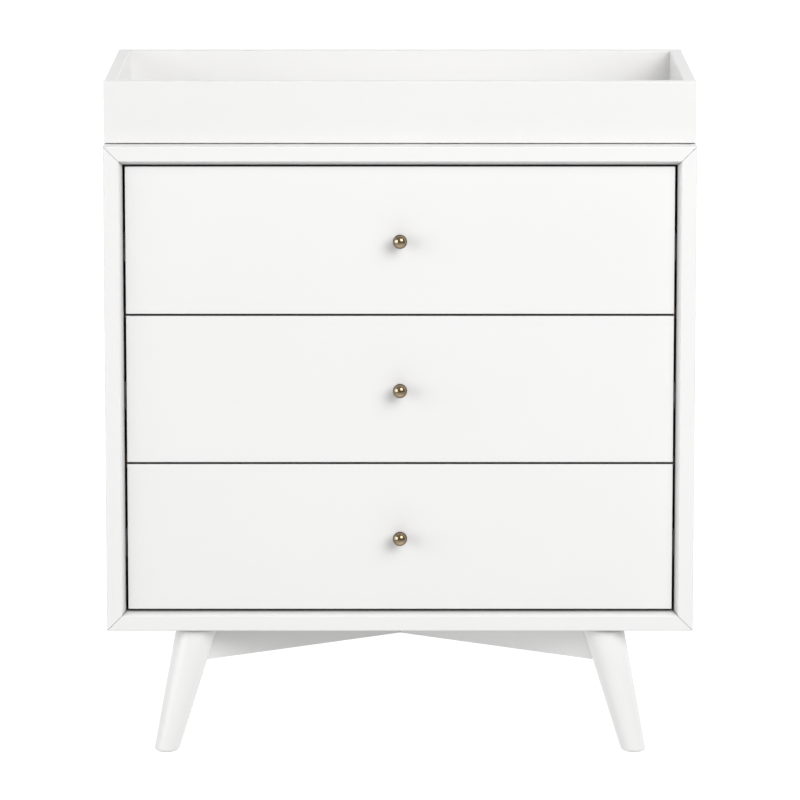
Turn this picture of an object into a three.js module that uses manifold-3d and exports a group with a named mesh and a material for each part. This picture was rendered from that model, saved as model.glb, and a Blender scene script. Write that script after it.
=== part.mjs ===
// Changing table: a three-drawer dresser on four splayed legs, with a changing tray that lifts off its top.
// Millimetres, +Z up. The front faces -Y. The origin is on the floor, below the middle of the outer box.
import * as THREE from "three";
import { mergeVertices } from "three/addons/utils/BufferGeometryUtils.js";
import Module from "manifold-3d";

const wasm = await Module();
wasm.setup();

// ---------------------------------------------------------------- driving dimensions

const GAP = 0.3; // clearance between neighbouring pieces

const CASE_WIDTH = 876;
const CASE_DEPTH = 485;
const CASE_HEIGHT = 729;
const BOARD = 28; // thickness of the four case panels
const BEVEL_WIDE = 6; // bevel around the front of the opening, across the board's edge
const BEVEL_DEEP = 12; // and back into the case
const FRONT_EDGE = 2; // outer front edges are eased by this much
const BACK_THICK = 6;
const BACK_REBATE = 10; // how far the back panel laps over each case panel

const LEG_HEIGHT = 188;
const LEG_TOP_RADIUS = 31;
const LEG_FOOT_RADIUS = 19;
const LEG_FOOT_ROUND = 4;
const LEG_TOP_X = 304.5; // leg centres at the case, from the case's middle
const LEG_TOP_Y = 201;
const LEG_SPLAY_X = 48; // how much further out the feet stand
const LEG_SPLAY_Y = 20;
const LEG_PLATE = 40;
const LEG_PLATE_THICK = 3;
const LEG_STUD_RADIUS = 4;
const LEG_STUD_LONG = 34;
const LEG_STUD_END = 2; // room past the stud's end

const BRACE_HIGH = 52;
const BRACE_THICK = 20;

const DRAWERS = 3;
const DRAWER_RECESS = 12; // drawer faces sit this far behind the case's front
const DRAWER_SIDE_GAP = 3.6;
const DRAWER_GAP = 2.7; // between fronts, and above and below them
const FRONT_THICK = 18;
const FRONT_ROUND = 1;
const BOX_WIDTH = 794;
const BOX_DEPTH = 400;
const BOX_HIGH = 160;
const BOX_BOARD = 12;
const BOX_RISE = 18; // box's lower edge above the front's lower edge
const DRAWER_BOTTOM = 5;
const GROOVE_DEEP = 6;
const GROOVE_RISE = 12; // groove's lower edge above the box's lower edge
const RAIL_THICK = 18;
const RAIL_DEEP = 50;
const RAIL_SETBACK = 3; // behind the drawer fronts

const KNOB_RADIUS = 10.5;
const KNOB_REACH = 26; // from the drawer face to the tip
const KNOB_BASE_RADIUS = 6.5;
const KNOB_BASE_THICK = 1.6;
const KNOB_BASE_CONE = 1; // the base slopes up to the neck by this much
const KNOB_NECK_RADIUS = 4.2;
const KNOB_BORE_RADIUS = 2.3;
const KNOB_BORE_DEEP = 12;

const SLIDE_LONG = 350;
const SLIDE_METAL = 1.2;
const SLIDE_HIGH = 45;
const SLIDE_RACE = 3; // room for the balls between the cabinet and middle members
const SLIDE_INNER_RACE = 2.6; // and between the middle and drawer members
const MIDDLE_WEB = 2.3; // depths from the case side: the middle member's web,
const SLIDE_LIP = 10.5; // the edges of the cabinet and middle members' flanges,
const DRAWER_LIP = 4.5; // and the edge of the drawer member's flanges
const SLIDE_SETBACK = 2; // front end behind the drawer front

const TRAY_HIGH = 91.5;
const TRAY_DEEP = 454;
const TRAY_BOARD = 19;
const TRAY_FLOOR = 9;
const TRAY_EDGE = 1.5;
const FELT = 1.5; // felt pads that the tray stands on
const BRACKET_WIDE = 40;
const BRACKET_THICK = 2;
const BRACKET_X = 280; // bracket centres from the middle
const BRACKET_DROP = 17; // lower end below the case's top
const BRACKET_RISE = 60; // upper end above the case's top
const BRACKET_SLOT = 6;

const LEG_SIDES = 24;
const KNOB_SIDES = 20;
const BORE_SIDES = 12;
const FOOT_STEPS = 3; // flats around the foot's rounded edge
const BALL_STEPS = 9; // flats from the ball's tip to its neck
const PAST = 1; // how far a cutting solid runs past the face it cuts

// ---------------------------------------------------------------- derived positions

const FRONT = -CASE_DEPTH / 2; // y of the case's front, from the case's own middle
const REAR = CASE_DEPTH / 2;
const CASE_TOP = LEG_HEIGHT + CASE_HEIGHT;
const INNER_HALF = CASE_WIDTH / 2 - BOARD;
const INNER_LOW = LEG_HEIGHT + BOARD;
const INNER_HIGH = CASE_TOP - BOARD;
const BACK_FRONT = REAR - BACK_THICK; // y of the back panel's inner face

const FACE_Y = FRONT + DRAWER_RECESS;
const BEHIND_FRONT = FACE_Y + FRONT_THICK;
const FRONT_HIGH = (INNER_HIGH - INNER_LOW - (DRAWERS + 1) * DRAWER_GAP) / DRAWERS;
const DRAWER_PITCH = FRONT_HIGH + DRAWER_GAP;
const SLIDE_FRONT = BEHIND_FRONT + SLIDE_SETBACK;
const SLIDE_SPACE = INNER_HALF - BOX_WIDTH / 2;

// The knobs reach further past the case's front than the brackets do past its rear,
// so the case stands a little behind the origin.
const CASE_Y = (KNOB_REACH - DRAWER_RECESS - BRACKET_THICK) / 2;

// ---------------------------------------------------------------- materials

const lacquer = { color: 0xf4f4f2, roughness: 0.35, metalness: 0 };
const birch = { color: 0xe3cfaa, roughness: 0.6, metalness: 0 };
const zinc = { color: 0xb9bcc0, roughness: 0.35, metalness: 1 };
const bronze = { color: 0xa08050, roughness: 0.25, metalness: 1 };

// ---------------------------------------------------------------- solids

// A closed geometry as a solid that can be cut and joined.
function solid(geometry) {
  geometry.deleteAttribute("normal");
  geometry.deleteAttribute("uv");
  const merged = mergeVertices(geometry, 1e-4);
  return new wasm.Manifold(
    new wasm.Mesh({
      numProp: 3,
      vertProperties: new Float32Array(merged.attributes.position.array),
      triVerts: new Uint32Array(merged.index.array),
    }),
  );
}

function geometryOf(body) {
  const mesh = body.getMesh();
  const geometry = new THREE.BufferGeometry();
  geometry.setAttribute("position", new THREE.BufferAttribute(mesh.vertProperties, 3));
  geometry.setIndex(new THREE.BufferAttribute(mesh.triVerts, 1));
  const flat = geometry.toNonIndexed();
  flat.computeVertexNormals();
  return flat;
}

// A block between two corners, each [x, y, z].
function block(low, high) {
  const size = high.map((value, axis) => value - low[axis]);
  const geometry = new THREE.BoxGeometry(...size);
  geometry.translate(...low.map((value, axis) => value + size[axis] / 2));
  return solid(geometry);
}

function outline(points) {
  return new THREE.Shape(points.map(([across, up]) => new THREE.Vector2(across, up)));
}

// An outline of [y, z] points, drawn out along X from x = from to x = to.
function alongX(points, from, to) {
  const geometry = new THREE.ExtrudeGeometry(outline(points), {
    depth: to - from,
    bevelEnabled: false,
  });
  const turn = new THREE.Matrix4().makeBasis(
    new THREE.Vector3(0, 1, 0),
    new THREE.Vector3(0, 0, 1),
    new THREE.Vector3(1, 0, 0),
  );
  geometry.applyMatrix4(turn);
  geometry.translate(from, 0, 0);
  return solid(geometry);
}

// An outline of [x, z] points, drawn out along Y from y = from to y = to.
function alongY(points, from, to) {
  const geometry = new THREE.ExtrudeGeometry(outline(points), {
    depth: to - from,
    bevelEnabled: false,
  });
  geometry.rotateX(Math.PI / 2);
  geometry.translate(0, to, 0);
  return solid(geometry);
}

// A turned piece about Z: the profile's points are [radius, z], from the top down to the bottom.
function turned(profile, sides) {
  const points = profile.map(([radius, z]) => new THREE.Vector2(radius, z));
  const geometry = new THREE.LatheGeometry(points.reverse(), sides);
  geometry.rotateX(Math.PI / 2);
  return solid(geometry);
}

// ---------------------------------------------------------------- scene graph

const table = new THREE.Group();
const caseGroup = new THREE.Group();
caseGroup.position.y = CASE_Y;
table.add(caseGroup);

// Adds one named sub-part to a group.
function add(group, name, body, look) {
  const mesh = new THREE.Mesh(geometryOf(body), new THREE.MeshStandardMaterial(look));
  mesh.name = name;
  group.add(mesh);
  return mesh;
}

const SIDES = [
  { name: "left", sign: -1 },
  { name: "right", sign: 1 },
];
const ENDS = [
  { name: "front", sign: -1 },
  { name: "rear", sign: 1 },
];

// ---------------------------------------------------------------- case panels

// One case panel, drawn as the top one: its inner face at z = 0, its outer face at z = BOARD,
// mitred at both ends, bevelled at the inner front edge and rebated at the inner rear edge.
function casePanel(outerLength) {
  const profile = [
    [FRONT, BEVEL_WIDE],
    [FRONT + BEVEL_DEEP, 0],
    [BACK_FRONT - GAP, 0],
    [BACK_FRONT - GAP, BACK_REBATE],
    [REAR, BACK_REBATE],
    [REAR, BOARD],
    [FRONT + FRONT_EDGE, BOARD],
    [FRONT + FRONT_EDGE * (1 - Math.SQRT1_2), BOARD - FRONT_EDGE * (1 - Math.SQRT1_2)],
    [FRONT, BOARD - FRONT_EDGE],
  ];
  const half = outerLength / 2 - GAP / Math.SQRT2;
  const mitres = [
    [-half + BOARD, 0],
    [half - BOARD, 0],
    [half, BOARD],
    [-half, BOARD],
  ];
  const long = alongX(profile, -half, half);
  return long.intersect(alongY(mitres, FRONT - PAST, REAR + PAST));
}

const middle = LEG_HEIGHT + CASE_HEIGHT / 2;

const topPanel = add(caseGroup, "top_panel", casePanel(CASE_WIDTH), lacquer);
topPanel.position.z = INNER_HIGH;

for (const { name, sign } of SIDES) {
  const panel = add(caseGroup, `side_panel_${name}`, casePanel(CASE_HEIGHT), lacquer);
  panel.rotation.y = (sign * Math.PI) / 2;
  panel.position.set(sign * INNER_HALF, 0, middle);
}

// The legs' plates are let into the bottom panel's underside.
const pocketHalf = LEG_PLATE / 2 + GAP;
let bottom = casePanel(CASE_WIDTH);
for (const side of SIDES) {
  for (const end of ENDS) {
    const x = side.sign * LEG_TOP_X;
    const y = end.sign * LEG_TOP_Y;
    const low = [x - pocketHalf, y - pocketHalf, BOARD - LEG_PLATE_THICK - GAP];
    const high = [x + pocketHalf, y + pocketHalf, BOARD + PAST];
    bottom = bottom.subtract(block(low, high));
  }
}
const bottomPanel = add(caseGroup, "bottom_panel", bottom, lacquer);
bottomPanel.rotation.y = Math.PI;
bottomPanel.position.z = INNER_LOW;

const lap = BACK_REBATE - GAP;
const backPanel = block(
  [-INNER_HALF - lap, BACK_FRONT, INNER_LOW - lap],
  [INNER_HALF + lap, REAR, INNER_HIGH + lap],
);
add(caseGroup, "back_panel", backPanel, lacquer);

["lower", "upper"].forEach((name, index) => {
  const z = INNER_LOW + DRAWER_GAP / 2 + (index + 1) * DRAWER_PITCH;
  const y = BEHIND_FRONT + RAIL_SETBACK;
  const rail = block(
    [-INNER_HALF + GAP, y, z - RAIL_THICK / 2],
    [INNER_HALF - GAP, y + RAIL_DEEP, z + RAIL_THICK / 2],
  );
  add(caseGroup, `front_rail_${name}`, rail, birch);
});

// ---------------------------------------------------------------- legs, leg plates and brace

// Leans an upright solid outwards, as the leg leans: the slope is the same over its whole height.
function splayed(body) {
  return body.warp((point) => {
    const down = -point[2] / LEG_HEIGHT;
    point[0] += LEG_SPLAY_X * down;
    point[1] += LEG_SPLAY_Y * down;
  });
}

// A leg that hangs from z = top, larger all round by extra.
function legBody(top, extra) {
  const profile = [
    [0, top],
    [LEG_TOP_RADIUS + extra, top],
    [LEG_FOOT_RADIUS + extra, -LEG_HEIGHT + LEG_FOOT_ROUND],
  ];
  for (let step = 1; step <= FOOT_STEPS; step += 1) {
    const angle = (step / FOOT_STEPS) * (Math.PI / 2);
    const inset = LEG_FOOT_ROUND * (1 - Math.cos(angle));
    const drop = LEG_FOOT_ROUND * Math.sin(angle);
    profile.push([LEG_FOOT_RADIUS + extra - inset, -LEG_HEIGHT + LEG_FOOT_ROUND - drop]);
  }
  profile.push([0, -LEG_HEIGHT]);
  return splayed(turned(profile, LEG_SIDES));
}

function stud(radius, length, top) {
  const profile = [
    [0, top],
    [radius, top],
    [radius, -length],
    [0, -length],
  ];
  return splayed(turned(profile, BORE_SIDES));
}

const legBore = stud(LEG_STUD_RADIUS + GAP, LEG_STUD_LONG + LEG_STUD_END, PAST);
const legSolid = legBody(-GAP, 0).subtract(legBore);
const plateHalf = LEG_PLATE / 2;
const plate = block([-plateHalf, -plateHalf, 0], [plateHalf, plateHalf, LEG_PLATE_THICK]);
const plateSolid = plate.add(stud(LEG_STUD_RADIUS, LEG_STUD_LONG, LEG_PLATE_THICK / 2));

for (const end of ENDS) {
  for (const side of SIDES) {
    const corner = new THREE.Group();
    corner.position.set(side.sign * LEG_TOP_X, end.sign * LEG_TOP_Y, LEG_HEIGHT);
    corner.scale.set(side.sign, end.sign, 1);
    caseGroup.add(corner);
    add(corner, `leg_${end.name}_${side.name}`, legSolid, lacquer);
    add(corner, `leg_plate_${end.name}_${side.name}`, plateSolid, zinc);
  }
}

// The two boards of the brace run from leg to leg and are halved over each other in the middle.
const braceAngle = Math.atan2(LEG_TOP_Y, LEG_TOP_X);
const braceHalf = Math.hypot(LEG_TOP_X, LEG_TOP_Y);

function braceBoard(turn, halfLength, thick, low, high) {
  const board = block([-halfLength, -thick / 2, low], [halfLength, thick / 2, high]);
  return board.rotate([0, 0, THREE.MathUtils.radToDeg(turn)]);
}

const braceBoards = [
  { name: "cross_brace_a", turn: braceAngle, notch: [-(BRACE_HIGH + GAP) / 2, PAST] },
  { name: "cross_brace_b", turn: -braceAngle, notch: [-BRACE_HIGH - PAST, -(BRACE_HIGH - GAP) / 2] },
];
for (const { name, turn, notch } of braceBoards) {
  let board = braceBoard(turn, braceHalf, BRACE_THICK, -BRACE_HIGH, -GAP);
  board = board.subtract(braceBoard(-turn, BRACE_THICK * 2, BRACE_THICK + 2 * GAP, ...notch));
  for (const side of SIDES) {
    const end = side.sign * Math.sign(turn);
    const leg = legBody(PAST, GAP).scale([side.sign, end, 1]);
    board = board.subtract(leg.translate([side.sign * LEG_TOP_X, end * LEG_TOP_Y, 0]));
  }
  add(caseGroup, name, board, lacquer).position.z = LEG_HEIGHT;
}

// ---------------------------------------------------------------- drawer slides

// A folded channel drawn out along Y. Its web stands at depth web, its two flanges reach to depth lip,
// both measured from the case side towards the drawer, and it is high from edge to edge.
function channel(web, lip, high) {
  const outer = high / 2;
  const inner = outer - SLIDE_METAL;
  const webInside = web + Math.sign(lip - web) * SLIDE_METAL;
  const points = [
    [web, -outer],
    [lip, -outer],
    [lip, -inner],
    [webInside, -inner],
    [webInside, inner],
    [lip, inner],
    [lip, outer],
    [web, outer],
  ];
  const turnedPoints = lip > web ? points : points.reverse();
  return alongY(turnedPoints, 0, SLIDE_LONG);
}

const middleHigh = SLIDE_HIGH - 2 * (SLIDE_METAL + SLIDE_RACE);
const innerHigh = middleHigh - 2 * (SLIDE_METAL + SLIDE_INNER_RACE);
const slideMembers = [
  { name: "cabinet", body: channel(GAP, SLIDE_LIP, SLIDE_HIGH) },
  { name: "middle", body: channel(MIDDLE_WEB, SLIDE_LIP, middleHigh) },
  { name: "drawer", body: channel(SLIDE_SPACE - GAP, DRAWER_LIP, innerHigh) },
];

function addSlides(level, height) {
  for (const { name, sign } of SIDES) {
    const rail = new THREE.Group();
    rail.position.set(sign * INNER_HALF, SLIDE_FRONT, height);
    rail.scale.x = -sign;
    caseGroup.add(rail);
    for (const member of slideMembers) {
      add(rail, `slide_${member.name}_${level}_${name}`, member.body, zinc);
    }
  }
}

// ---------------------------------------------------------------- drawers

const frontHalf = INNER_HALF - DRAWER_SIDE_GAP;
const boxHalf = BOX_WIDTH / 2;
const grooveLow = BOX_RISE + GROOVE_RISE;
const grooveHigh = grooveLow + DRAWER_BOTTOM + 2 * GAP;

// The drawer's own frame: its face at y = 0 and its front's lower edge at z = 0.
function drawerFront() {
  const r = FRONT_ROUND;
  const profile = [
    [0, r],
    [r, 0],
    [FRONT_THICK, 0],
    [FRONT_THICK, FRONT_HIGH],
    [r, FRONT_HIGH],
    [0, FRONT_HIGH - r],
  ];
  const groove = block(
    [-boxHalf + BOX_BOARD - GROOVE_DEEP, FRONT_THICK - GROOVE_DEEP, grooveLow],
    [boxHalf - BOX_BOARD + GROOVE_DEEP, FRONT_THICK + PAST, grooveHigh],
  );
  const holeProfile = [
    [0, PAST],
    [KNOB_BORE_RADIUS, PAST],
    [KNOB_BORE_RADIUS, -FRONT_THICK - PAST],
    [0, -FRONT_THICK - PAST],
  ];
  const hole = turned(holeProfile, BORE_SIDES).rotate([90, 0, 0]).translate([0, 0, FRONT_HIGH / 2]);
  return alongX(profile, -frontHalf, frontHalf).subtract(groove).subtract(hole);
}

function drawerSide(sign) {
  const from = FRONT_THICK + GAP;
  const outer = sign * boxHalf;
  const inner = sign * (boxHalf - BOX_BOARD);
  const grooveTo = sign * (boxHalf - BOX_BOARD + GROOVE_DEEP);
  const board = block(
    [Math.min(outer, inner), from, BOX_RISE],
    [Math.max(outer, inner), FRONT_THICK + BOX_DEPTH, BOX_RISE + BOX_HIGH],
  );
  const past = inner - sign * PAST;
  const groove = block(
    [Math.min(grooveTo, past), from - PAST, grooveLow],
    [Math.max(grooveTo, past), FRONT_THICK + BOX_DEPTH - BOX_BOARD + GROOVE_DEEP, grooveHigh],
  );
  return board.subtract(groove);
}

function drawerBack() {
  const half = boxHalf - BOX_BOARD - GAP;
  const rear = FRONT_THICK + BOX_DEPTH;
  const board = block([-half, rear - BOX_BOARD, BOX_RISE], [half, rear, BOX_RISE + BOX_HIGH]);
  const groove = block(
    [-half - PAST, rear - BOX_BOARD - PAST, grooveLow],
    [half + PAST, rear - BOX_BOARD + GROOVE_DEEP, grooveHigh],
  );
  return board.subtract(groove);
}

function drawerBottom() {
  const reach = GROOVE_DEEP - GAP;
  const half = boxHalf - BOX_BOARD + reach;
  return block(
    [-half, FRONT_THICK - reach, grooveLow + GAP],
    [half, FRONT_THICK + BOX_DEPTH - BOX_BOARD + reach, grooveLow + GAP + DRAWER_BOTTOM],
  );
}

// A ball on a short neck and a round base, with a blind bore for its screw, turned about the axis
// that runs out from the drawer face.
function knobBody() {
  const ballCentre = KNOB_REACH - KNOB_RADIUS;
  const profile = [[0, KNOB_REACH]];
  const neckAngle = Math.acos(KNOB_NECK_RADIUS / KNOB_RADIUS);
  for (let step = 1; step <= BALL_STEPS; step += 1) {
    const angle = Math.PI / 2 - (step / BALL_STEPS) * (Math.PI / 2 + neckAngle);
    profile.push([KNOB_RADIUS * Math.cos(angle), ballCentre + KNOB_RADIUS * Math.sin(angle)]);
  }
  profile.push(
    [KNOB_NECK_RADIUS, KNOB_BASE_THICK + KNOB_BASE_CONE],
    [KNOB_BASE_RADIUS, KNOB_BASE_THICK],
    [KNOB_BASE_RADIUS, GAP],
    [KNOB_BORE_RADIUS, GAP],
    [KNOB_BORE_RADIUS, KNOB_BORE_DEEP],
    [0, KNOB_BORE_DEEP],
  );
  return turned(profile, KNOB_SIDES).rotate([90, 0, 0]);
}

const LEVELS = ["bottom", "middle", "top"];
LEVELS.forEach((level, index) => {
  const low = INNER_LOW + DRAWER_GAP + index * DRAWER_PITCH;
  const drawer = new THREE.Group();
  drawer.position.set(0, FACE_Y, low);
  caseGroup.add(drawer);
  add(drawer, `drawer_front_${level}`, drawerFront(), lacquer);
  add(drawer, `drawer_side_${level}_left`, drawerSide(-1), birch);
  add(drawer, `drawer_side_${level}_right`, drawerSide(1), birch);
  add(drawer, `drawer_back_${level}`, drawerBack(), birch);
  add(drawer, `drawer_bottom_${level}`, drawerBottom(), birch);
  add(drawer, `knob_${level}`, knobBody(), bronze).position.z = FRONT_HIGH / 2;
  addSlides(level, low + BOX_RISE + BOX_HIGH / 2);
});

// ---------------------------------------------------------------- changing tray

const tray = new THREE.Group();
tray.position.set(0, REAR - TRAY_DEEP, CASE_TOP + FELT);
caseGroup.add(tray);

const trayHalf = CASE_WIDTH / 2;

// A wall's section across its thickness, with eased top edges: [across, up] points.
function wallSection(from, to) {
  return [
    [from, 0],
    [to, 0],
    [to, TRAY_HIGH - TRAY_EDGE],
    [to - TRAY_EDGE, TRAY_HIGH],
    [from + TRAY_EDGE, TRAY_HIGH],
    [from, TRAY_HIGH - TRAY_EDGE],
  ];
}

add(tray, "tray_wall_front", alongX(wallSection(0, TRAY_BOARD), -trayHalf, trayHalf), lacquer);
const rearSection = wallSection(TRAY_DEEP - TRAY_BOARD, TRAY_DEEP);
add(tray, "tray_wall_rear", alongX(rearSection, -trayHalf, trayHalf), lacquer);
for (const { name, sign } of SIDES) {
  const edges = [sign * trayHalf, sign * (trayHalf - TRAY_BOARD)].sort((a, b) => a - b);
  const wall = alongY(wallSection(...edges), TRAY_BOARD + GAP, TRAY_DEEP - TRAY_BOARD - GAP);
  add(tray, `tray_wall_${name}`, wall, lacquer);
}
const floorHalf = trayHalf - TRAY_BOARD - GAP;
const trayFloor = block(
  [-floorHalf, TRAY_BOARD + GAP, 0],
  [floorHalf, TRAY_DEEP - TRAY_BOARD - GAP, TRAY_FLOOR],
);
add(tray, "tray_floor", trayFloor, lacquer);

// A steel plate screwed to the tray's rear wall. The slot in its lower end is open downwards,
// so the tray lifts straight off the screw in the case's rear edge.
function bracket() {
  const half = BRACKET_WIDE / 2;
  const slotHalf = BRACKET_SLOT / 2;
  const slotTop = -BRACKET_DROP / 2 + slotHalf;
  const plate = [
    [-half, -BRACKET_DROP],
    [-slotHalf, -BRACKET_DROP],
    [-slotHalf, slotTop],
    [slotHalf, slotTop],
    [slotHalf, -BRACKET_DROP],
    [half, -BRACKET_DROP],
    [half, BRACKET_RISE],
    [-half, BRACKET_RISE],
  ];
  return alongY(plate, TRAY_DEEP + GAP, TRAY_DEEP + BRACKET_THICK);
}
for (const { name, sign } of SIDES) {
  const piece = add(tray, `tray_bracket_${name}`, bracket(), zinc);
  piece.position.set(sign * BRACKET_X, 0, -FELT);
}

export default table;
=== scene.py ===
import math

import bmesh
import bpy
from mathutils import Matrix, Vector


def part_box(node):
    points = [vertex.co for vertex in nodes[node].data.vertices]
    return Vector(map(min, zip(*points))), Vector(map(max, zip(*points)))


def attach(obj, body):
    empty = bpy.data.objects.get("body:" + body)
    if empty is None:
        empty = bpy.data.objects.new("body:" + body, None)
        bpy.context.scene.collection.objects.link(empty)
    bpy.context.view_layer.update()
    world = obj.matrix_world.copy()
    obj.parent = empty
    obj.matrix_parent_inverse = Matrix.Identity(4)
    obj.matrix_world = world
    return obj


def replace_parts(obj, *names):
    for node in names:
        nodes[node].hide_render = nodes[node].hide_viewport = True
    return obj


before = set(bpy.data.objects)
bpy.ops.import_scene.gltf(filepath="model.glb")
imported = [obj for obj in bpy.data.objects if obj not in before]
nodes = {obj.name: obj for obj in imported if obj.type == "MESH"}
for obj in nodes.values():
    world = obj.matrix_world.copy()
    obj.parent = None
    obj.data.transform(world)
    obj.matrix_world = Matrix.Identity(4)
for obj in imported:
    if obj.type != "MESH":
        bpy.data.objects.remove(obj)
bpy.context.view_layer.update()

# A white three-drawer changing table. The CAD boards get softened edges and their finishes; the
# turned, folded and small pieces are built here, round the places that the frame gives.
# Metres, +Z up, the front faces -Y.

MM = 0.001
SIDES = {"left": -1, "right": 1}
ENDS = {"front": -1, "rear": 1}
LEVELS = ("bottom", "middle", "top")
SMOOTH_BELOW = math.radians(35)  # edges that turn by more than this stay sharp
OUTWARD = {
    "-X": (-1, 0, 0),
    "+X": (1, 0, 0),
    "-Y": (0, -1, 0),
    "+Y": (0, 1, 0),
    "-Z": (0, 0, -1),
}

# ------------------------------------------------------------------ camera

CAMERA_BACK = 8.0  # in front of the case
CAMERA_HIGH = 1.903
CAMERA_DOWN = 9.68  # degrees
CAMERA_LENS = 246


def make_camera():
    """Looks at the front from a little above."""
    data = bpy.data.cameras.new("camera")
    data.lens = CAMERA_LENS
    data.sensor_width = 36
    data.clip_end = 100
    camera = bpy.data.objects.new("camera", data)
    camera.location = (0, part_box("top_panel")[0].y - CAMERA_BACK, CAMERA_HIGH)
    camera.rotation_euler = (math.radians(90 - CAMERA_DOWN), 0, 0)
    bpy.context.scene.collection.objects.link(camera)
    bpy.context.scene.camera = camera


# ------------------------------------------------------------------ shader helpers


class Shader:
    """A material's node tree, with short ways to add a node and to link it."""

    def __init__(self, name):
        self.material = bpy.data.materials.new(name)
        self.material.use_nodes = True
        self.nodes = self.material.node_tree.nodes
        self.links = self.material.node_tree.links
        self.bsdf = self.nodes["Principled BSDF"]

    def node(self, kind, **settings):
        made = self.nodes.new(kind)
        for key, value in settings.items():
            setattr(made, key, value)
        return made

    def put(self, value, target):
        """Links an output to a socket, or sets the socket to a plain value."""
        if isinstance(value, bpy.types.NodeSocket):
            self.links.new(value, target)
        else:
            target.default_value = value

    def set(self, **values):
        """Sets or links the shader's own sockets, named with _ for a space."""
        for name, value in values.items():
            self.put(value, self.bsdf.inputs[name.replace("_", " ")])

    def place(self, stretch=(1, 1, 1)):
        """The surface point in the object's frame, scaled along each axis."""
        mapping = self.node("ShaderNodeMapping")
        mapping.inputs["Scale"].default_value = stretch
        self.put(self.node("ShaderNodeTexCoord").outputs["Object"], mapping.inputs["Vector"])
        return mapping.outputs["Vector"]

    def noise(self, scale, detail=2.0, rough=0.5, stretch=(1, 1, 1), warp=0.0):
        made = self.node("ShaderNodeTexNoise")
        self.put(self.place(stretch), made.inputs["Vector"])
        made.inputs["Scale"].default_value = scale
        made.inputs["Detail"].default_value = detail
        made.inputs["Roughness"].default_value = rough
        made.inputs["Distortion"].default_value = warp
        return made.outputs["Fac"]

    def span(self, value, low, high, to_low=0.0, to_high=1.0):
        """Maps low..high to to_low..to_high, held at both ends."""
        made = self.node("ShaderNodeMapRange")
        self.put(value, made.inputs["Value"])
        made.inputs["From Min"].default_value = low
        made.inputs["From Max"].default_value = high
        made.inputs["To Min"].default_value = to_low
        made.inputs["To Max"].default_value = to_high
        return made.outputs["Result"]

    def math(self, operation, first, second=0.5):
        made = self.node("ShaderNodeMath", operation=operation)
        self.put(first, made.inputs[0])
        self.put(second, made.inputs[1])
        return made.outputs[0]

    def mix(self, factor, first, second):
        made = self.node("ShaderNodeMix", data_type="RGBA")
        self.put(factor, made.inputs[0])
        self.put(first, made.inputs[6])
        self.put(second, made.inputs[7])
        return made.outputs[2]

    def bump(self, height, depth, strength=1.0, under=None):
        """A relief of that depth, in metres, over another one if given."""
        made = self.node("ShaderNodeBump")
        made.inputs["Strength"].default_value = strength
        made.inputs["Distance"].default_value = depth
        self.put(height, made.inputs["Height"])
        if under is not None:
            self.put(under, made.inputs["Normal"])
        return made.outputs["Normal"]

    def creases(self, reach):
        """1 on open surfaces, falling to 0 in gaps, joints and corners narrower than that reach."""
        made = self.node("ShaderNodeAmbientOcclusion", samples=8)
        made.inputs["Distance"].default_value = reach
        return made.outputs["AO"]

    def axis_of(self, vector, axis):
        """One coordinate, 0 to 2, of a vector output."""
        split = self.node("ShaderNodeSeparateXYZ")
        self.put(vector, split.inputs[0])
        return split.outputs[axis]


# ------------------------------------------------------------------ materials

GAP_REACH = 8 * MM
VENEER_PAIR = 2.7 * MM  # a light and a dark veneer in the edge of plywood


def lacquer_finish(name, level, rough, gap_shade_tone):
    """Sprayed satin lacquer: near-white, with fine orange peel and slow drifts of tone and sheen.
    The last argument is the share of that tone left deep in a gap, joint or corner: painted shade, darker
    where little light reaches."""
    s = Shader(name)
    bright = (level * 1.004, level, level * 0.994, 1)
    dim = tuple(c * 0.985 for c in bright[:3]) + (1,)
    mottled = tuple(c * 0.992 for c in bright[:3]) + (1,)
    tone = s.mix(s.span(s.noise(3.0, 3.0), 0.35, 0.65), bright, dim)
    mottle = s.span(s.noise(90.0), 0.3, 0.7, 0.0, 0.4)
    tone = s.mix(mottle, tone, mottled)
    # painted shade: gaps, joints and corners darken towards this tone, by how closed in they are
    gap_shaded = tuple(c * gap_shade_tone for c in bright[:3]) + (1,)
    tone = s.mix(s.span(s.creases(GAP_REACH), 0.2, 0.9), gap_shaded, tone)
    sheen = s.span(s.noise(24.0, 4.0, 0.6), 0.3, 0.7, rough - 0.05, rough + 0.06)
    peel = s.bump(s.noise(420.0, 1.5), 0.05 * MM, 0.35)
    dust = s.bump(s.noise(2600.0, 1.0), 0.01 * MM, 0.3, under=peel)
    s.set(Base_Color=tone, Roughness=sheen, Normal=dust, Coat_Weight=0.12, Coat_Roughness=0.22)
    return s.material


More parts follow.
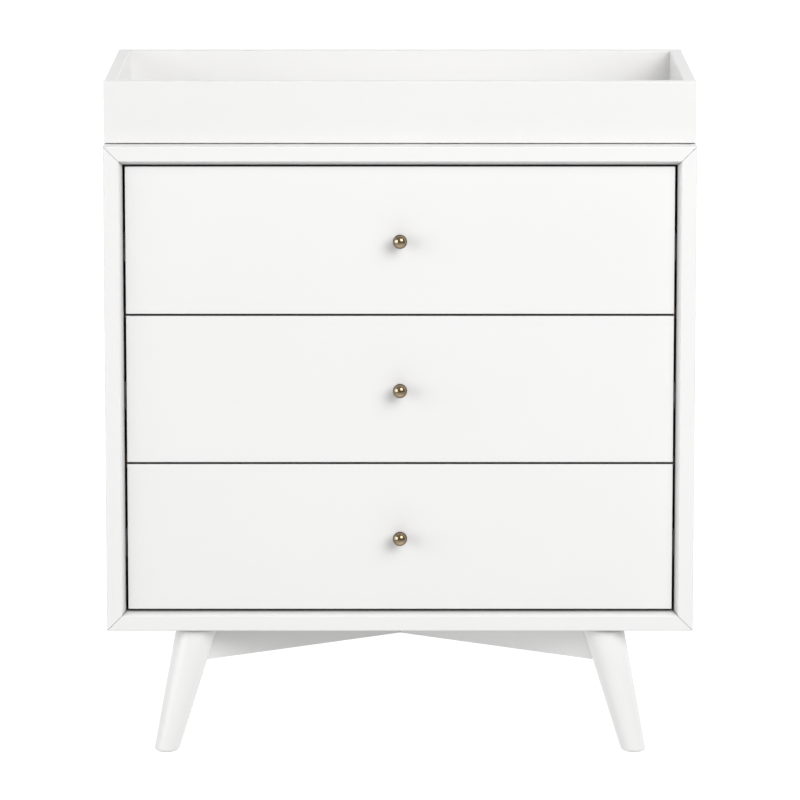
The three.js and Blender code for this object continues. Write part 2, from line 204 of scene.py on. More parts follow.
def ply_finish(name, along, through):
    """Clear-coated birch plywood. The face grain runs along one axis, 0 to 2, and the edges show
    the veneers, which are stacked through another."""
    s = Shader(name)
    stretch, fine = [1.0, 1.0, 1.0], [1.0, 1.0, 1.0]
    stretch[along] = 0.06
    fine[along] = 0.025
    streak = s.noise(38.0, 5.0, 0.62, stretch, 0.6)
    figure = s.noise(7.0, 3.0, 0.5, stretch, 1.6)
    pores = s.span(s.noise(900.0, 2.0, 0.6, fine), 0.58, 0.7)
    face = s.mix(s.span(streak, 0.35, 0.68), (0.76, 0.60, 0.40, 1), (0.63, 0.45, 0.27, 1))
    face = s.mix(s.span(figure, 0.45, 0.75, 0.0, 0.45), face, (0.82, 0.69, 0.50, 1))
    face = s.mix(s.math("MULTIPLY", pores, 0.4), face, (0.42, 0.27, 0.14, 1))

    turns = s.math("MULTIPLY", s.axis_of(s.place(), through), 2 * math.pi / VENEER_PAIR)
    veneer = s.span(s.math("SINE", turns), -0.35, 0.35)
    edge = s.mix(veneer, (0.72, 0.56, 0.36, 1), (0.45, 0.30, 0.17, 1))
    edge = s.mix(s.math("MULTIPLY", streak, 0.4), edge, (0.76, 0.62, 0.42, 1))
    normal = s.node("ShaderNodeTexCoord").outputs["Normal"]
    on_face = s.span(s.math("ABSOLUTE", s.axis_of(normal, through)), 0.4, 0.6)
    tone = s.mix(on_face, edge, face)

    relief = s.bump(pores, 0.05 * MM, -0.4)
    relief = s.bump(streak, 0.08 * MM, 0.25, under=relief)
    s.set(Base_Color=tone, Roughness=s.span(streak, 0.3, 0.7, 0.42, 0.56), Normal=relief)
    s.set(Coat_Weight=0.25, Coat_Roughness=0.3)
    return s.material


def steel_finish(name, tint, rough, along):
    """Zinc-plated sheet: fine rolling lines along one axis, faint clouds and slight stains."""
    s = Shader(name)
    rolled = [1.0, 1.0, 1.0]
    rolled[along] = 0.03
    lines = s.noise(2200.0, 2.0, 0.6, rolled)
    clouds = s.noise(60.0, 3.0, 0.6)
    stain = s.span(s.noise(25.0, 4.0, 0.7), 0.55, 0.75, 0.0, 0.35)
    dull = tuple(c * 0.78 for c in tint) + (1,)
    tone = s.mix(s.span(clouds, 0.35, 0.65), tint + (1,), dull)
    tone = s.mix(stain, tone, (0.45, 0.42, 0.36, 1))
    brushed = s.span(lines, 0.3, 0.7, 0.0, 0.14)
    shine = s.math("ADD", brushed, s.span(clouds, 0.3, 0.7, rough - 0.05, rough + 0.08))
    s.set(Base_Color=tone, Roughness=shine, Normal=s.bump(lines, 0.01 * MM, 0.4), Metallic=1.0)
    return s.material


def brass_finish(crown):
    """Antique brass: a brown patina. Towards the back of the ball the tone darkens, partly patina that
    hands don't polish off and partly painted shade, a dark reflection painted round the rim. The crown is
    the knobs' foremost Y."""
    s = Shader("antique_brass")
    patina = s.span(s.noise(160.0, 4.0, 0.65, warp=0.4), 0.35, 0.7)
    cloud = s.span(s.noise(70.0), 0.35, 0.65)
    tone = s.mix(cloud, (0.52, 0.41, 0.285, 1), (0.44, 0.345, 0.23, 1))
    tone = s.mix(s.math("MULTIPLY", patina, 0.35), tone, (0.2, 0.145, 0.09, 1))
    # painted shade: the ball darkens behind its crown, a dark reflection painted round its rim, and partly
    # patina left unpolished there
    unpolished_and_rim_shade = s.span(s.axis_of(s.place(), 1), crown + 2.5 * MM, crown + 9.5 * MM, 0.0, 0.8)
    tone = s.mix(unpolished_and_rim_shade, tone, (0.09, 0.06, 0.035, 1))
    scratch = s.noise(1500.0, 2.0, 0.6, (1, 1, 0.1))
    s.set(Base_Color=tone, Roughness=s.span(patina, 0.0, 1.0, 0.10, 0.19), Metallic=1.0)
    s.set(Specular_Tint=(0.12, 0.10, 0.08, 1))
    s.set(Normal=s.bump(scratch, 0.01 * MM, 0.3))
    return s.material


def felt_finish():
    """Pressed grey wool felt, with loose fibres."""
    s = Shader("felt")
    fibres = s.noise(1400.0, 5.0, 0.7, warp=2.0)
    tone = s.mix(s.span(fibres, 0.3, 0.7), (0.62, 0.61, 0.58, 1), (0.38, 0.37, 0.35, 1))
    s.set(Base_Color=tone, Roughness=s.span(fibres, 0.3, 0.7, 0.85, 1.0))
    s.set(Normal=s.bump(fibres, 0.3 * MM, 0.8), Sheen_Weight=0.4)
    return s.material


def plastic_finish(name, tone, rough):
    """Moulded plastic with a fine eroded texture and slight sink marks."""
    s = Shader(name)
    spark = s.noise(1800.0, 3.0, 0.6)
    darker = tuple(c * 0.88 for c in tone) + (1,)
    s.set(Base_Color=s.mix(s.span(s.noise(120.0, 1.0), 0.35, 0.65), tone + (1,), darker))
    s.set(Roughness=s.span(spark, 0.3, 0.7, rough - 0.06, rough + 0.08))
    s.set(Normal=s.bump(spark, 0.02 * MM, 0.3))
    return s.material


# ------------------------------------------------------------------ mesh helpers


def arc(centre, radius, start, end, steps):
    """Points on an arc, angles in degrees, both ends included."""
    points = []
    for step in range(steps + 1):
        angle = math.radians(start + (end - start) * step / steps)
        points.append((centre[0] + radius * math.cos(angle), centre[1] + radius * math.sin(angle)))
    return points


def even_angles(count):
    return [2 * math.pi * index / count for index in range(count)]


def pose_at(centre, out):
    """The matrix that stands a shape, drawn up along Z from the origin, at a point and facing out."""
    turn = Vector(OUTWARD[out]).to_track_quat("Z", "Y").to_matrix().to_4x4()
    return Matrix.Translation(centre) @ turn


CROSS_ARM = 0.58  # a screw's pressed cross, as shares of the head's radius
CROSS_HALF_WIDE = 0.15
CROSS_FLOOR = 0.55  # its floor's size, as a share of its outline's
CROSS_DEEP = 0.7  # its depth, as a share of the head's height
PAD_SIDES = 40


class Lot:
    """One or more closed solids that together make one piece."""

    def __init__(self):
        self.bm = bmesh.new()

    def ring(self, matrix, reaches, angles, level):
        """A closed ring: reaches is one radius, or one for each angle."""
        if not hasattr(reaches, "__len__"):
            reaches = [reaches] * len(angles)
        made = []
        for reach, angle in zip(reaches, angles):
            point = (reach * math.cos(angle), reach * math.sin(angle), level)
            made.append(self.bm.verts.new(matrix @ Vector(point)))
        return made

    def skin(self, first, second):
        for index in range(len(first)):
            after = (index + 1) % len(first)
            self.bm.faces.new((first[index], first[after], second[after], second[index]))

    def turned(self, matrix, profile, sides):
        """A lathe-turned solid. The profile's [radius, level] points run from one end to the other."""
        angles = even_angles(sides)
        rings = [self.ring(matrix, radius, angles, level) for radius, level in profile]
        for first, second in zip(rings, rings[1:]):
            self.skin(first, second)
        self.bm.faces.new(rings[0])
        self.bm.faces.new(rings[-1])

    def drawn(self, outline, low, high, point):
        """A solid with that outline, drawn from low to high; point(a, b, level) places a corner."""
        near = [self.bm.verts.new(point(a, b, low)) for a, b in outline]
        far = [self.bm.verts.new(point(a, b, high)) for a, b in outline]
        self.skin(near, far)
        self.bm.faces.new(near)
        self.bm.faces.new(far)

    def screw(self, centre, out, radius, height, flat=False):
        """A screw head with a pressed cross, pan-shaped or flat."""
        matrix = pose_at(centre, out)
        arm, half = radius * CROSS_ARM, radius * CROSS_HALF_WIDE
        tip = math.atan2(half, arm)
        quarter = (-tip, 0.0, tip, tip * 0.5 + math.pi / 8, math.pi / 4, math.pi * 3 / 8 - tip * 0.5)
        angles = [turn * math.pi / 2 + angle for turn in range(4) for angle in quarter]
        if flat:
            rim = [(1.0, 0.0), (1.0, 0.6), (0.93, 1.0)]
        else:
            rim = arc((0, 0), 1.0, 0, 66, 5)
        rings = [self.ring(matrix, radius * across, angles, height * up) for across, up in rim]
        for first, second in zip(rings, rings[1:]):
            self.skin(first, second)
        self.bm.faces.new(rings[0])

        # the cross is a pit: its outline lies in the top, and its floor is lower and smaller
        top = height * rim[-1][1]
        reach = [cross_reach(angle, arm, half) for angle in angles]
        lip = self.ring(matrix, reach, angles, top)
        floor = self.ring(matrix, [CROSS_FLOOR * r for r in reach], angles, top - height * CROSS_DEEP)
        self.skin(rings[-1], lip)
        self.skin(lip, floor)
        self.bm.faces.new(floor)

    def pad(self, centre, out, radius, thick, roll=0.25):
        """A low round pad whose upper edge is rolled by a share of its thickness."""
        edge = thick * roll
        profile = [(radius, 0.0)] + arc((radius - edge, thick - edge), edge, 0, 90, 4)
        self.turned(pose_at(centre, out), profile, PAD_SIDES)

    def piece(self, name, material, body, slot=None):
        """Ends the lot: its solids become a named piece that rides on a body."""
        bmesh.ops.recalc_face_normals(self.bm, faces=self.bm.faces)
        mesh = bpy.data.meshes.new(name)
        self.bm.to_mesh(mesh)
        self.bm.free()
        return show(name, mesh, material, body)


def show(name, mesh, material, body):
    mesh.shade_smooth()
    mesh.set_sharp_from_angle(angle=SMOOTH_BELOW)
    mesh.materials.clear()
    mesh.materials.append(material)
    made = bpy.data.objects.new(name, mesh)
    bpy.context.scene.collection.objects.link(made)
    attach(made, body)
    return made


def cross_reach(angle, arm, half):
    """How far a plus sign's outline lies from its centre at an angle."""
    across, up = abs(math.cos(angle)), abs(math.sin(angle))
    longer, shorter = max(across, up), min(across, up)
    if arm / longer * shorter <= half * 1.0001:
        return arm / longer
    return half / shorter


def spaced(low, high, count):
    return [low + (high - low) * index / (count - 1) for index in range(count)]


# ------------------------------------------------------------------ boards


def finish_board(node, material, round_by):
    """Gives a CAD board its finish, and softens its edges without touching its mesh."""
    board = nodes[node]
    board.data.materials.clear()
    board.data.materials.append(material)
    board.data.shade_smooth()
    weld = board.modifiers.new("weld", "WELD")
    weld.merge_threshold = 0.005 * MM
    whole = board.modifiers.new("whole_faces", "DECIMATE")
    whole.decimate_type = "DISSOLVE"
    whole.angle_limit = math.radians(0.5)
    rounded = board.modifiers.new("rounded_edges", "BEVEL")
    rounded.width = round_by
    rounded.segments = 3
    rounded.limit_method = "ANGLE"
    rounded.angle_limit = math.radians(30)
    flat = board.modifiers.new("flat_faces", "WEIGHTED_NORMAL")
    flat.weight = 100


# ------------------------------------------------------------------ legs

LEG_TOP_RADIUS = 31 * MM
LEG_FOOT_RADIUS = 19 * MM
FOOT_ROUND = 5 * MM
GLIDE_THICK = 0.8 * MM
GLIDE_INSET = 1.0 * MM
LEG_TOP_EASE = 0.6 * MM
LEG_STEPS = 12
LEG_SIDES = 72


def leg_line(node):
    """The centres of a leg's top and foot."""
    low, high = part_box(node)
    side = 1 if low.x + high.x > 0 else -1
    end = 1 if low.y + high.y > 0 else -1
    inner = Vector((low.x if side > 0 else high.x, low.y if end > 0 else high.y))
    outer = Vector((high.x if side > 0 else low.x, high.y if end > 0 else low.y))
    lean = Vector((side, end))
    top, foot = inner + lean * LEG_TOP_RADIUS, outer - lean * LEG_FOOT_RADIUS
    return top.to_3d() + Vector((0, 0, high.z)), foot.to_3d() + Vector((0, 0, low.z))


def turned_leg(node):
    """A splayed, tapered leg. Its level sections are round, and its foot's edge is rolled under."""
    top, foot = leg_line(node)
    high = top.z - foot.z
    slope = (foot - top) / high
    long = high - GLIDE_THICK
    lean = Matrix.Translation(top)
    lean[0][2], lean[1][2], lean[2][2] = slope
    profile = [(LEG_TOP_RADIUS - radius, down) for radius, down in
               [(LEG_TOP_EASE, 0), (0.3 * LEG_TOP_EASE, 0.3 * LEG_TOP_EASE), (0, LEG_TOP_EASE)]]
    straight = long - FOOT_ROUND
    for step in range(1, LEG_STEPS + 1):
        share = step / LEG_STEPS
        radius = LEG_TOP_RADIUS + (LEG_FOOT_RADIUS - LEG_TOP_RADIUS) * share
        profile.append((radius, LEG_TOP_EASE + (straight - LEG_TOP_EASE) * share))
    profile += arc((LEG_FOOT_RADIUS - FOOT_ROUND, straight), FOOT_ROUND, 0, 90, 8)[1:]
    lot = Lot()
    lot.turned(lean, profile, LEG_SIDES)
    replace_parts(lot.piece("turned_" + node, LACQUER, "case", "lacquer"), node)


def foot_glides():
    lot = Lot()
    for end in ENDS:
        for side in SIDES:
            foot = leg_line(f"leg_{end}_{side}")[1]
            foot.z += GLIDE_THICK
            lot.pad(foot, "-Z", LEG_FOOT_RADIUS - FOOT_ROUND - GLIDE_INSET, GLIDE_THICK)
    lot.piece("foot_glides", FELT, "case")


# ------------------------------------------------------------------ knobs

KNOB_RADIUS = 10.5 * MM
KNOB_SIDES = 96
KNOB_ARC = (-63, 89)  # degrees round the ball, from its neck to just short of its crown
KNOB_BASE = [(5.6, 0), (6.4, 0.2), (6.8, 0.8), (6.5, 1.4), (5.9, 1.6), (5.3, 1.75)]  # [radius, out], mm
KNOB_NECK = [(4.7, 2.2), (4.3, 3.0), (4.15, 4.0), (4.3, 5.2)]


def ball_knob(level):
    """A ball on a waisted neck and a beaded base."""
    low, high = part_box("knob_" + level)
    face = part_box("drawer_front_" + level)[0].y
    centre = ((low.x + high.x) / 2, face, (low.z + high.z) / 2)
    profile = [(radius * MM, along * MM) for radius, along in KNOB_BASE + KNOB_NECK]
    profile += arc((0, face - low.y - KNOB_RADIUS), KNOB_RADIUS, *KNOB_ARC, 40)
    lot = Lot()
    lot.turned(pose_at(centre, "-Y"), profile, KNOB_SIDES)
    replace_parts(lot.piece("ball_knob_" + level, BRASS, "drawer_" + level, "knob_metal"), "knob_" + level)


# ------------------------------------------------------------------ drawer slides

SHEET = 1.2 * MM
RACE_STEPS = 6
OUTER_BALL = ((8.0, 19.8), 1.5)  # [depth from the case side, height from the middle], radius, mm
INNER_BALL = ((6.4, 15.8), 1.3)
HALF_SHEET = 0.6


def cabinet_line():
    """The fold line of the cabinet member's upper half, [depth, height] in mm, from web to lip."""
    centre, ball = OUTER_BALL
    race = arc(centre, ball + HALF_SHEET, 150, 32, RACE_STEPS)
    return [(0.9, 0)] + arc((3.0, 18.75), 2.1, 180, 90, 4) + race


def middle_line():
    """The middle member's: its flange holds the inner balls from above and the outer ones from below."""
    outer, outer_ball = OUTER_BALL
    inner, inner_ball = INNER_BALL
    under = arc(inner, inner_ball + HALF_SHEET, 160, 72, RACE_STEPS)
    over = arc(outer, outer_ball + HALF_SHEET, -104, -36, RACE_STEPS)
    return [(2.9, 0), (2.9, 14.6), (3.1, 15.5), (3.75, 16.2)] + under + over


def drawer_line():
    """The drawer member's: it opens towards the case side."""
    centre, ball = INNER_BALL
    race = arc(centre, ball + HALF_SHEET, -32, -143, RACE_STEPS)
    return [(12.1, 0)] + arc((10.3, 13.0), 1.8, 0, 90, 4) + race


def folded_outline(line):
    """A closed outline, in metres, of sheet metal folded along a line and its mirror image."""
    whole = [(depth, -height) for depth, height in reversed(line)] + line[1:]
    points = [Vector(point) * MM for point in whole]
    left, right = [], []
    for index, point in enumerate(points):
        before = points[max(index - 1, 0)]
        after = points[min(index + 1, len(points) - 1)]
        along = (after - before).normalized()
        across = Vector((-along.y, along.x)) * SHEET / 2
        left.append(point + across)
        right.append(point - across)
    return left + right[::-1]


def oblong(long, high, steps=8):
    """A slot's outline: two half rounds joined by straights, lying or standing."""
    if high > long:
        return [(a, b) for b, a in oblong(high, long, steps)]
    half = (long - high) / 2
    return arc((half, 0), high / 2, -90, 90, steps) + arc((-half, 0), high / 2, 90, 270, steps)


CABINET_SCREWS = (37, 165, 300)  # distances of the screws from a member's front end, mm
DRAWER_SCREWS = (35, 163, 294)
SCREW_HOLE = (6, 6)
SLOT_PATTERNS = {  # [distance from the front end, (long, high)] of each slot in the web, mm
    "cabinet": (
        *((along, SCREW_HOLE) for along in CABINET_SCREWS),
        *((along, (14, 5)) for along in (60, 133, 230)),
        (325, (12, 5)),
    ),
    "middle": (
        *((along, (46, 12)) for along in (90, 262)),
        *((along, (8, 8)) for along in (175, 332)),
        (22, (10, 6)),
    ),
    "drawer": (
        *((along, SCREW_HOLE) for along in DRAWER_SCREWS),
        *((along, (5, 14)) for along in (128, 226)),
        (62, (14, 5)),
        (322, (12, 5)),
    ),
}
FOLD_LINES = {"cabinet": cabinet_line, "middle": middle_line, "drawer": drawer_line}


def cut(mesh, cutters):
    """The mesh with the cutters' solids taken out of it."""
    body = bpy.data.objects.new("to_cut", mesh)
    tool = bpy.data.objects.new("cutters", cutters)
    for made in (body, tool):
        bpy.context.scene.collection.objects.link(made)
    taken = body.modifiers.new("cut", "BOOLEAN")
    taken.object = tool
    taken.solver = "EXACT"
    depsgraph = bpy.context.evaluated_depsgraph_get()
    result = bpy.data.meshes.new_from_object(body.evaluated_get(depsgraph))
    for made in (body, tool):
        bpy.data.objects.remove(made)
    return result


def slide_member(member, level, side):
    """A folded channel with stamped slots, in place of the plain one."""
    node = f"slide_{member}_{level}_{side}"
    low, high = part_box(node)
    inward = -SIDES[side]
    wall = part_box("side_panel_" + side)[0 if inward < 0 else 1].x
    middle = (low.z + high.z) / 2

    def point(depth, height, along):
        return (wall + inward * depth, low.y + along, middle + height)

    channel, slots = Lot(), Lot()
    channel.drawn(folded_outline(FOLD_LINES[member]()), 0, high.y - low.y, point)
    web = FOLD_LINES[member]()[0][0] * MM
    for along, (long, high_by) in SLOT_PATTERNS[member]:
        slots.drawn(oblong(long * MM, high_by * MM), web - SHEET, web + SHEET,
                    lambda a, b, depth: point(depth, b, a + along * MM))
    meshes = []
    for lot in (channel, slots):
        bmesh.ops.recalc_face_normals(lot.bm, faces=lot.bm.faces)
        mesh = bpy.data.meshes.new(node + "_folded")
        lot.bm.to_mesh(mesh)
        lot.bm.free()
        meshes.append(mesh)
    body = {"cabinet": "case", "middle": "slides_" + level, "drawer": "drawer_" + level}[member]
    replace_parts(show("folded_" + node, cut(*meshes), ZINC, body), node)


CAGE_LONG = 100 * MM
CAGE_END = 8 * MM  # from a cage's end to its first ball
CAGE_HALF_THICK = 0.2 * MM
CAGE_BALLS = 7
OUTER_CAGE_FROM_REAR = 112 * MM
INNER_CAGE_FROM_FRONT = 12 * MM
BALL_PLAY = 0.08  # mm
BALL_SIDES = 14


def ball_cages(level):
    """The balls between the members, in thin strips that keep them apart."""
    lot = Lot()
    for side, sign in SIDES.items():
        low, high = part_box(f"slide_middle_{level}_{side}")
        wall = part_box("side_panel_" + side)[1 if sign < 0 else 0].x
        middle = (low.z + high.z) / 2
        outer = (*OUTER_BALL, high.y - OUTER_CAGE_FROM_REAR)
        inner = (*INNER_BALL, low.y + INNER_CAGE_FROM_FRONT)
        for (depth, height), radius, start in (outer, inner):
            x = wall - sign * depth * MM
            for upper in (-1, 1):
                z = middle + upper * height * MM
                wide, thick = radius * 0.9 * MM, CAGE_HALF_THICK
                outline = [(-wide, -thick), (wide, -thick), (wide, thick), (-wide, thick)]
                lot.drawn(outline, start, start + CAGE_LONG, lambda a, b, y: (x + a, y, z + b))
                for y in spaced(start + CAGE_END, start + CAGE_LONG - CAGE_END, CAGE_BALLS):
                    ball = arc((0, 0), (radius - BALL_PLAY) * MM, -84, 84, 8)
                    lot.turned(Matrix.Translation((x, y, z)), ball, BALL_SIDES)
    lot.piece("ball_cages_" + level, ZINC, "slides_" + level, "zinc_steel")


# ------------------------------------------------------------------ fixings

BACK_SCREW = (3.2 * MM, 1.5 * MM)  # each head's radius and height
MEMBER_SCREW = (3.6 * MM, 0.6 * MM)
BRACE_SCREW = (4.0 * MM, 0.5 * MM)
BRACKET_SCREW = (4.2 * MM, 2.0 * MM)
CATCH_SCREW = (5.0 * MM, 2.2 * MM)
KNOB_SCREW = (4.2 * MM, 2.3 * MM)
CAM_CROSS = (4.6 * MM, 0.7 * MM)
SIDE_SCREW = (3.4 * MM, 0.4 * MM)
DRAWER_MEMBER_SCREW = (3.6 * MM, 1.8 * MM)

BACK_SCREW_INSET = 5 * MM
BRACE_SCREW_SHARES = (-0.72, -0.3, 0.3, 0.72)  # of the way from the middle to a leg
CABINET_WEB = 1.5 * MM  # from the case side to the cabinet member's inner face
DRAWER_WEB = 11.5 * MM  # from the case side to the drawer member's inner face


def case_fixings():
    """Screws round the back panel, through the cabinet members and up through the brace."""
    lot = Lot()
    low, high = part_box("back_panel")
    inset = BACK_SCREW_INSET
    for x in spaced(low.x + inset, high.x - inset, 7):
        for z in (low.z + inset, high.z - inset):
            lot.screw((x, high.y, z), "+Y", *BACK_SCREW)
    for z in spaced(low.z + inset, high.z - inset, 6)[1:-1]:
        for x in (low.x + inset, high.x - inset):
            lot.screw((x, high.y, z), "+Y", *BACK_SCREW)
    for level in LEVELS:
        for side, sign in SIDES.items():
            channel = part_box(f"slide_cabinet_{level}_{side}")
            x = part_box("side_panel_" + side)[1 if sign < 0 else 0].x - sign * CABINET_WEB
            for along in CABINET_SCREWS:
                at = (x, channel[0].y + along * MM, (channel[0].z + channel[1].z) / 2)
                lot.screw(at, "-X" if sign > 0 else "+X", *MEMBER_SCREW, flat=True)
    top, under = leg_line("leg_front_right")[0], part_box("cross_brace_a")[0].z
    middle_y = (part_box("top_panel")[0].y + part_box("top_panel")[1].y) / 2
    for share in BRACE_SCREW_SHARES:
        for end in (-1, 1):
            y = middle_y + end * share * (middle_y - top.y)
            lot.screw((share * top.x, y, under), "-Z", *BRACE_SCREW, flat=True)
    lot.piece("case_screws", ZINC, "case", "zinc_steel")


BRACKET_SCREW_DROPS = (12 * MM, 38 * MM)  # from the bracket's top
CATCH_SHANK_RADIUS = 2.4 * MM
CATCH_SINK = 0.5 * MM  # how far the catch screw's shank starts inside the case
CATCH_PLAY = 0.2 * MM  # between the bracket and the catch screw's head
CATCH_OVERLAP = 0.1 * MM  # how far the shank goes into the head
CATCH_SIDES = 20


def bracket_fixings():
    """Two screws hold each bracket to the tray, and one in the case's rear edge fills its slot."""
    tray, case = Lot(), Lot()
    case_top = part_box("top_panel")[1]
    for side in SIDES:
        low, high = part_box("tray_bracket_" + side)
        x = (low.x + high.x) / 2
        for drop in BRACKET_SCREW_DROPS:
            tray.screw((x, high.y, high.z - drop), "+Y", *BRACKET_SCREW)
        z = (low.z + case_top.z) / 2
        head = high.y + CATCH_PLAY
        start = case_top.y - CATCH_SINK
        shank = [(CATCH_SHANK_RADIUS, 0), (CATCH_SHANK_RADIUS, head + CATCH_OVERLAP - start)]
        case.turned(pose_at((x, start, z), "+Y"), shank, CATCH_SIDES)
        case.screw((x, head, z), "+Y", *CATCH_SCREW)
    tray.piece("tray_bracket_screws", ZINC, "tray", "zinc_steel")
    case.piece("tray_catch_screws", ZINC, "case", "zinc_steel")


PAD_RADIUS = 10 * MM
PAD_EDGE = 26 * MM  # from the tray's edges to the pads' centres


def felt_pads():
    """The tray stands on round felt pads."""
    lot = Lot()
    low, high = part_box("tray_floor")
    case_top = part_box("top_panel")[1].z
    for x in spaced(low.x + PAD_EDGE, high.x - PAD_EDGE, 3):
        for y in (low.y + PAD_EDGE, high.y - PAD_EDGE):
            lot.pad((x, y, low.z), "-Z", PAD_RADIUS, low.z - case_top)
    lot.piece("tray_felt_pads", FELT, "tray")


BUMPER_RADIUS = 3.6 * MM
BUMPER_FROM_END = 45 * MM
BUMPER_FROM_EDGE = 4.2 * MM
BUMPER_PLAY = 0.2 * MM
BUMPER_ROLL = 0.4


def drawer_bumpers():
    """Soft discs on the rails, where the closed fronts come to rest."""
    lot = Lot()
    for name in ("lower", "upper"):
        low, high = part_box("front_rail_" + name)
        gap = low.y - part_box("drawer_front_middle")[1].y
        for x in (low.x + BUMPER_FROM_END, high.x - BUMPER_FROM_END):
            for z in (low.z + BUMPER_FROM_EDGE, high.z - BUMPER_FROM_EDGE):
                lot.pad((x, low.y, z), "-Y", BUMPER_RADIUS, gap - BUMPER_PLAY, BUMPER_ROLL)
    lot.piece("drawer_bumpers", RUBBER, "case")


WASHER_RADIUS = 7.0 * MM
WASHER_THICK = 1.0 * MM
CAM_RADIUS = 7.5 * MM
CAM_THICK = 0.5 * MM
CAM_FROM_FRONT = 26 * MM
CAM_FROM_BOTTOM = 48 * MM
CAM_FROM_TOP = 32 * MM
SIDE_SCREW_FROM_REAR = 6 * MM


def drawer_fixings(level):
    """The knob's screw and washer, the sides' cam locks, their screws into the back and the slides'."""
    lot = Lot()
    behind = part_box("drawer_front_" + level)[1].y
    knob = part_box("knob_" + level)
    x, z = (knob[0].x + knob[1].x) / 2, (knob[0].z + knob[1].z) / 2
    lot.pad((x, behind, z), "+Y", WASHER_RADIUS, WASHER_THICK)
    lot.screw((x, behind + WASHER_THICK, z), "+Y", *KNOB_SCREW)
    for side, sign in SIDES.items():
        low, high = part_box(f"drawer_side_{level}_{side}")
        inner, outer = (low.x, high.x) if sign > 0 else (high.x, low.x)
        facing_in, facing_out = ("-X", "+X") if sign > 0 else ("+X", "-X")
        cam_y = low.y + CAM_FROM_FRONT
        for z in (low.z + CAM_FROM_BOTTOM, high.z - CAM_FROM_TOP):
            lot.pad((inner, cam_y, z), facing_in, CAM_RADIUS, CAM_THICK)
            lot.screw((inner - sign * CAM_THICK, cam_y, z), facing_in, *CAM_CROSS, flat=True)
            lot.screw((outer, high.y - SIDE_SCREW_FROM_REAR, z), facing_out, *SIDE_SCREW, flat=True)
        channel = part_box(f"slide_drawer_{level}_{side}")
        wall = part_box("side_panel_" + side)[1 if sign < 0 else 0].x
        for along in DRAWER_SCREWS:
            z = (channel[0].z + channel[1].z) / 2
            at = (wall - sign * DRAWER_WEB, channel[0].y + along * MM, z)
            lot.screw(at, facing_out, *DRAWER_MEMBER_SCREW)
    lot.piece("drawer_screws_" + level, ZINC, "drawer_" + level, "zinc_steel")


# ------------------------------------------------------------------ floor and light

FLOOR_REACH = 40  # half the floor's width, and the backdrop's radius
FLOOR_TONE = 0.25
FLOOR_GLOW = 0.94
BACKDROP_TONE = 0.0
BACKDROP_GLOW = 1.0
ROOM_GLOW = 1.08  # the white floor's glow; the room's other parts are shares of it
ROOM_SHARES = ((0.0, 1.0), (0.5, 0.15), (1.0, 0.36))  # straight down, level and straight up
ROOM_BEHIND = 0.9  # the backdrop's share, behind the table
BEHIND_SPAN = (0.1, 0.5)  # the backward shares of a direction where that sets in and is full
LIGHTS_AIM = (0, 0, 0.55)  # the middle of the case
LIGHTS = {  # [location, size, power, whether it shows in reflections]
    "key": ((3.2, -5.6, 5.2), (4.8, 4.8), 268, True),
    "right": ((5.0, -5.3, 3.4), (4.5, 4.5), 232, False),
    "left": ((-6.8, -3.7, 2.0), (6.5, 5.5), 315, True),
}


def stage_piece(name, bm, base, glow):
    """A part of the studio, clear from its back. The camera sees it, but it lights nothing: the
    room's glow does that, so no hard edge or dark underside spoils the soft light."""
    mesh = bpy.data.meshes.new(name)
    bm.to_mesh(mesh)
    bm.free()
    made = bpy.data.objects.new(name, mesh)
    bpy.context.scene.collection.objects.link(made)
    s = Shader(name + "_paint")
    s.set(Base_Color=(base, base, base, 1), Roughness=0.9)
    s.set(Emission_Color=(1, 1, 1, 1), Emission_Strength=glow)
    clear = s.node("ShaderNodeBsdfTransparent")
    either = s.node("ShaderNodeMixShader")
    s.put(s.node("ShaderNodeNewGeometry").outputs["Backfacing"], either.inputs["Fac"])
    s.put(s.bsdf.outputs["BSDF"], either.inputs[1])
    s.put(clear.outputs["BSDF"], either.inputs[2])
    s.put(either.outputs["Shader"], s.nodes["Material Output"].inputs["Surface"])
    mesh.materials.append(s.material)
    made.visible_diffuse = False
    made.visible_glossy = False
    made.visible_shadow = False


def make_stage():
    bm = bmesh.new()
    bmesh.ops.create_grid(bm, x_segments=1, y_segments=1, size=FLOOR_REACH)
    stage_piece("floor", bm, FLOOR_TONE, FLOOR_GLOW)
    bm = bmesh.new()
    bmesh.ops.create_icosphere(bm, subdivisions=4, radius=FLOOR_REACH)
    bmesh.ops.reverse_faces(bm, faces=bm.faces)
    stage_piece("backdrop", bm, BACKDROP_TONE, BACKDROP_GLOW)


def area_light(name, location, size, power, mirrored):
    data = bpy.data.lights.new(name, "AREA")
    data.shape = "RECTANGLE"
    data.size, data.size_y = size
    data.energy = power
    light = bpy.data.objects.new(name, data)
    light.location = location
    towards = Vector(LIGHTS_AIM) - light.location
    light.rotation_euler = towards.to_track_quat("-Z", "Y").to_euler()
    light.visible_camera = False
    light.visible_glossy = mirrored
    bpy.context.scene.collection.objects.link(light)


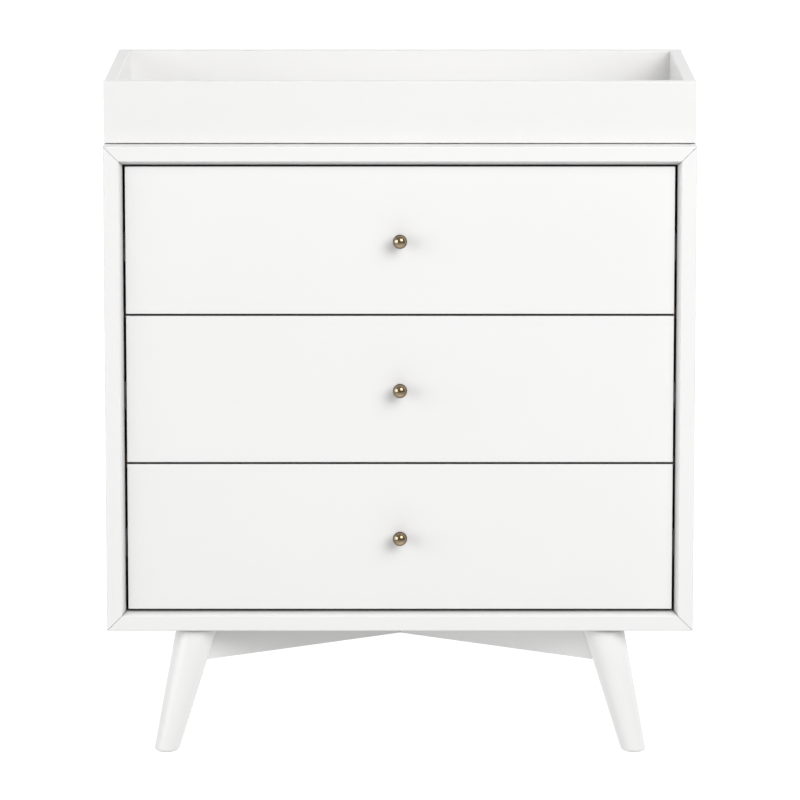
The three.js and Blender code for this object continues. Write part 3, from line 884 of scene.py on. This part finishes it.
def make_room():
    """A pale room: its floor and its far end glow the most, its ceiling less and its walls least."""
    world = bpy.data.worlds.new("white_room")
    world.use_nodes = True
    tree = world.node_tree
    background = tree.nodes["Background"]
    split = tree.nodes.new("ShaderNodeSeparateXYZ")
    tree.links.new(tree.nodes.new("ShaderNodeTexCoord").outputs["Generated"], split.inputs[0])
    level = tree.nodes.new("ShaderNodeMapRange")
    level.inputs["From Min"].default_value = -1
    tree.links.new(split.outputs["Z"], level.inputs["Value"])
    ramp = tree.nodes.new("ShaderNodeValToRGB")
    stops = ramp.color_ramp.elements
    for place, share in ROOM_SHARES[1:-1]:
        stops.new(place)
    for stop, (place, share) in zip(stops, ROOM_SHARES):
        stop.position = place
        stop.color = (share, share, share, 1)
    tree.links.new(level.outputs["Result"], ramp.inputs["Fac"])
    behind = tree.nodes.new("ShaderNodeMapRange")
    behind.inputs["From Min"].default_value, behind.inputs["From Max"].default_value = BEHIND_SPAN
    tree.links.new(split.outputs["Y"], behind.inputs["Value"])
    glow = tree.nodes.new("ShaderNodeMix")
    glow.data_type = "RGBA"
    tree.links.new(behind.outputs["Result"], glow.inputs[0])
    tree.links.new(ramp.outputs["Color"], glow.inputs[6])
    glow.inputs[7].default_value = (ROOM_BEHIND, ROOM_BEHIND, ROOM_BEHIND, 1)
    tree.links.new(glow.outputs[2], background.inputs["Color"])
    background.inputs["Strength"].default_value = ROOM_GLOW
    bpy.context.scene.world = world
    bpy.context.scene.view_settings.view_transform = "Standard"
    for name, (location, size, power, mirrored) in LIGHTS.items():
        area_light(name, location, size, power, mirrored)


# ------------------------------------------------------------------ assembly

make_camera()
make_stage()
make_room()

LACQUER = lacquer_finish("white_lacquer", level=0.84, rough=0.38, gap_shade_tone=0.3)
TOP_LACQUER = lacquer_finish("white_lacquer_top", level=0.84, rough=0.38, gap_shade_tone=0.97)
# painted shade: the tray's copy of the white lacquer is made a little darker than the case's
SHADED_TRAY_LACQUER = lacquer_finish("white_lacquer_tray_shaded", level=0.815, rough=0.38, gap_shade_tone=0.97)
FRONT_LACQUER = lacquer_finish("white_lacquer_front", level=0.84, rough=0.38, gap_shade_tone=0.03)
BACK_COAT = lacquer_finish("back_board_coat", level=0.78, rough=0.52, gap_shade_tone=0.5)
PLY_SIDE = ply_finish("birch_ply_side", along=1, through=0)
PLY_BACK = ply_finish("birch_ply_back", along=0, through=1)
PLY_FLAT = ply_finish("birch_ply_flat", along=0, through=2)
ZINC = steel_finish("zinc_plate", tint=(0.66, 0.67, 0.69), rough=0.28, along=1)
BRASS = brass_finish(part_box("knob_top")[0].y)
FELT = felt_finish()
RUBBER = plastic_finish("soft_rubber", tone=(0.55, 0.54, 0.50), rough=0.6)

BOARDS = (  # [nodes, finish, how far their edges are softened]
    (["top_panel"], TOP_LACQUER, 0.6 * MM),
    (["bottom_panel", "side_panel_left", "side_panel_right"], LACQUER, 0.6 * MM),
    (["back_panel"], BACK_COAT, 0.4 * MM),
    (["cross_brace_a", "cross_brace_b"], LACQUER, 1.2 * MM),
    (["front_rail_lower", "front_rail_upper"], PLY_FLAT, 0.6 * MM),
    ([f"leg_plate_{end}_{side}" for end in ENDS for side in SIDES], ZINC, 0.2 * MM),
    (["tray_wall_" + wall for wall in (*ENDS, *SIDES)], SHADED_TRAY_LACQUER, 0.7 * MM),
    (["tray_floor"], SHADED_TRAY_LACQUER, 0.7 * MM),
    (["tray_bracket_" + side for side in SIDES], ZINC, 0.3 * MM),
    (["drawer_front_" + level for level in LEVELS], FRONT_LACQUER, 0.9 * MM),
    (["drawer_back_" + level for level in LEVELS], PLY_BACK, 0.6 * MM),
    (["drawer_bottom_" + level for level in LEVELS], PLY_FLAT, 0.2 * MM),
    ([f"drawer_side_{level}_{side}" for level in LEVELS for side in SIDES], PLY_SIDE, 0.6 * MM),
)
for names, finish, round_by in BOARDS:
    for name in names:
        finish_board(name, finish, round_by)

for end in ENDS:
    for side in SIDES:
        turned_leg(f"leg_{end}_{side}")
foot_glides()
for level in LEVELS:
    for side in SIDES:
        for member in FOLD_LINES:
            slide_member(member, level, side)
    ball_cages(level)
    ball_knob(level)
    drawer_fixings(level)
case_fixings()
bracket_fixings()
felt_pads()
drawer_bumpers()
